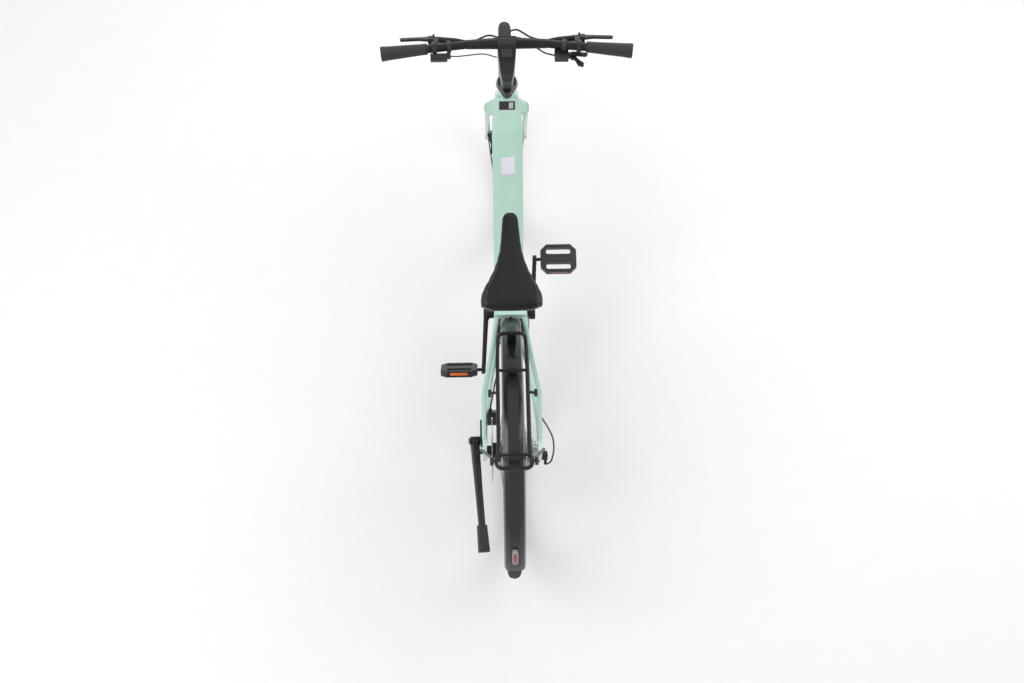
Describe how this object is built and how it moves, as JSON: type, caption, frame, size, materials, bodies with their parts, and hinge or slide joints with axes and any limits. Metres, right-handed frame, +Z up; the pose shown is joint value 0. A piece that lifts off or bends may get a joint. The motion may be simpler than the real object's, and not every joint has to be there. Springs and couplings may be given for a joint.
{
  "type": "step-through electric city bicycle",
  "caption": "Step-through electric city bicycle with deep main beam, mid motor, mudguards, slim rear rack, disc brakes, rear derailleur, flat bar and stowed side stand.",
  "frame": {"origin": "on the floor, under the centre of the bicycle's bounding box", "axes": "+X to the rider's right, +Y forward along the bicycle, +Z up"},
  "size_m": [0.6636, 1.8157, 1.0603],
  "materials": {
    "frame_paint": "satin mint green lacquer",
    "black_metal": "satin black anodised or powder coated",
    "black_plastic": "moulded black plastic",
    "rubber": "soft matt rubber",
    "tyre": "moulded tyre rubber",
    "steel": "bright steel",
    "alloy": "brushed aluminium",
    "saddle_cover": "matt synthetic leather",
    "lens_red": "red moulded lens",
    "screen": "glossy display"
  },
  "bodies": {
    "frame": {"head_tube": "frame_paint", "headset_bearings": "steel", "headset_cover": "black_plastic", "main_beam": "frame_paint", "battery_pack": "black_plastic", "motor_unit": "black_plastic", "seat_tube": "frame_paint", "seat_collar": "black_metal", "chainstays": "frame_paint", "seat_stays": "frame_paint", "rear_axle": "alloy", "rear_fender": "black_plastic", "tail_light": "lens_red", "rack": "black_metal", "rear_caliper": "black_metal", "derailleur_body": "black_metal", "chain": "steel", "kickstand_mount": "black_metal", "frame_cables": "rubber"},
    "saddle_post": {"seatpost": "black_metal", "saddle_rails": "steel", "saddle_base": "black_plastic", "saddle_cushion": "saddle_cover"},
    "steering": {"fork": "frame_paint", "front_axle": "alloy", "front_caliper": "black_metal", "front_fender": "black_plastic", "headlight": "black_plastic", "cockpit": "black_metal", "display": "screen", "grips": "rubber", "brake_bodies": "black_metal", "shifter_body": "black_plastic", "remote_pod": "black_plastic", "cockpit_cables": "rubber"},
    "lever_left": {"brake_lever_left": "black_metal"},
    "lever_right": {"brake_lever_right": "black_metal"},
    "paddle": {"shift_paddle": "black_plastic"},
    "trigger": {"shift_trigger": "black_plastic"},
    "button": {"remote_button": "black_plastic"},
    "front_wheel": {"front_tyre": "tyre", "front_rim": "black_metal", "front_hub": "black_metal", "front_spokes": "steel", "front_rotor": "steel"},
    "rear_wheel": {"rear_tyre": "tyre", "rear_rim": "black_metal", "rear_hub": "black_metal", "rear_spokes": "steel", "rear_rotor": "steel"},
    "cassette": {"cassette": "steel"},
    "crank": {"crankset": "black_metal", "chainring": "black_metal"},
    "pedal_left": {"pedal_left": "black_plastic"},
    "pedal_right": {"pedal_right": "black_plastic"},
    "cage": {"derailleur_cage": "black_metal"},
    "guide_pulley": {"guide_pulley": "black_plastic"},
    "tension_pulley": {"tension_pulley": "black_plastic"},
    "kickstand": {"kickstand_leg": "black_metal"},
    "kickstand_foot": {"kickstand_foot": "black_plastic"}
  },
  "joints": [
    {"name": "steering", "type": "hinge", "parent": "frame", "child": "steering", "pos_m": [0, 0.34157, 0.80746], "axis": [0, -0.342, 0.9397], "range_deg": [-45, 45]},
    {"name": "front_wheel_spin", "type": "hinge", "parent": "steering", "child": "front_wheel", "pos_m": [0, 0.55487, 0.353], "axis": [1, 0, 0], "continuous": true},
    {"name": "rear_wheel_spin", "type": "hinge", "parent": "frame", "child": "rear_wheel", "pos_m": [0, -0.53813, 0.353], "axis": [1, 0, 0], "continuous": true},
    {"name": "crank_spin", "type": "hinge", "parent": "frame", "child": "crank", "pos_m": [0, -0.06513, 0.285], "axis": [1, 0, 0], "continuous": true, "deforming": ["chain"]},
    {"name": "cassette_spin", "type": "hinge", "parent": "frame", "child": "cassette", "pos_m": [0, -0.53813, 0.353], "axis": [1, 0, 0], "continuous": true},
    {"name": "cage_pivot", "type": "hinge", "parent": "frame", "child": "cage", "pos_m": [0, -0.51813, 0.251], "axis": [1, 0, 0], "range_deg": [-5, 12], "stiffness_Nm_per_rad": 1.2},
    {"name": "guide_pulley_spin", "type": "hinge", "parent": "cage", "child": "guide_pulley", "pos_m": [0, -0.51813, 0.251], "axis": [1, 0, 0], "continuous": true},
    {"name": "tension_pulley_spin", "type": "hinge", "parent": "cage", "child": "tension_pulley", "pos_m": [0, -0.49413, 0.177], "axis": [1, 0, 0], "continuous": true},
    {"name": "pedal_left_spin", "type": "hinge", "parent": "crank", "child": "pedal_left", "pos_m": [0, -0.22887, 0.23928], "axis": [1, 0, 0], "continuous": true},
    {"name": "pedal_right_spin", "type": "hinge", "parent": "crank", "child": "pedal_right", "pos_m": [0, 0.09861, 0.33072], "axis": [1, 0, 0], "continuous": true},
    {"name": "brake_left", "type": "hinge", "parent": "steering", "child": "lever_left", "pos_m": [-0.198, 0.35631, 1.02895], "axis": [0, 0.2924, 0.9563], "range_deg": [0, 10], "stiffness_Nm_per_rad": 0.6, "springref_deg": -11.46},
    {"name": "brake_right", "type": "hinge", "parent": "steering", "child": "lever_right", "pos_m": [0.198, 0.35631, 1.02895], "axis": [0, -0.2924, -0.9563], "range_deg": [0, 10], "stiffness_Nm_per_rad": 0.6, "springref_deg": -11.46},
    {"name": "shift_paddle_push", "type": "hinge", "parent": "steering", "child": "paddle", "pos_m": [0.174, 0.30714, 1.00734], "axis": [0, 0, 1], "range_deg": [0, 12], "stiffness_Nm_per_rad": 0.15, "springref_deg": -11.46},
    {"name": "shift_trigger_pull", "type": "hinge", "parent": "steering", "child": "trigger", "pos_m": [0.174, 0.31314, 1.01634], "axis": [0, 0, -1], "range_deg": [0, 8], "stiffness_Nm_per_rad": 0.15, "springref_deg": -11.46},
    {"name": "remote_button_press", "type": "slide", "parent": "steering", "child": "button", "axis": [0, 0.4226, -0.9063], "range_m": [0, 0.0012], "stiffness_N_per_m": 400, "springref_m": -0.001},
    {"name": "kickstand_swing", "type": "hinge", "parent": "frame", "child": "kickstand", "pos_m": [-0.106, -0.49813, 0.33], "axis": [0.9494, 0.1398, -0.2811], "range_deg": [0, 74.64]},
    {"name": "kickstand_length", "type": "slide", "parent": "kickstand", "child": "kickstand_foot", "axis": [0.0741, -0.9699, -0.232], "range_m": [0, 0.014]},
    {"name": "seat_height", "type": "slide", "parent": "frame", "child": "saddle_post", "axis": [0, -0.2924, 0.9563], "range_m": [-0.09, 0.05]}
  ],
  "couplings": [
    {"joint": "cassette_spin", "follows": "crank_spin", "ratio": 2},
    {"joint": "guide_pulley_spin", "follows": "crank_spin", "ratio": -3},
    {"joint": "tension_pulley_spin", "follows": "crank_spin", "ratio": 3}
  ]
}
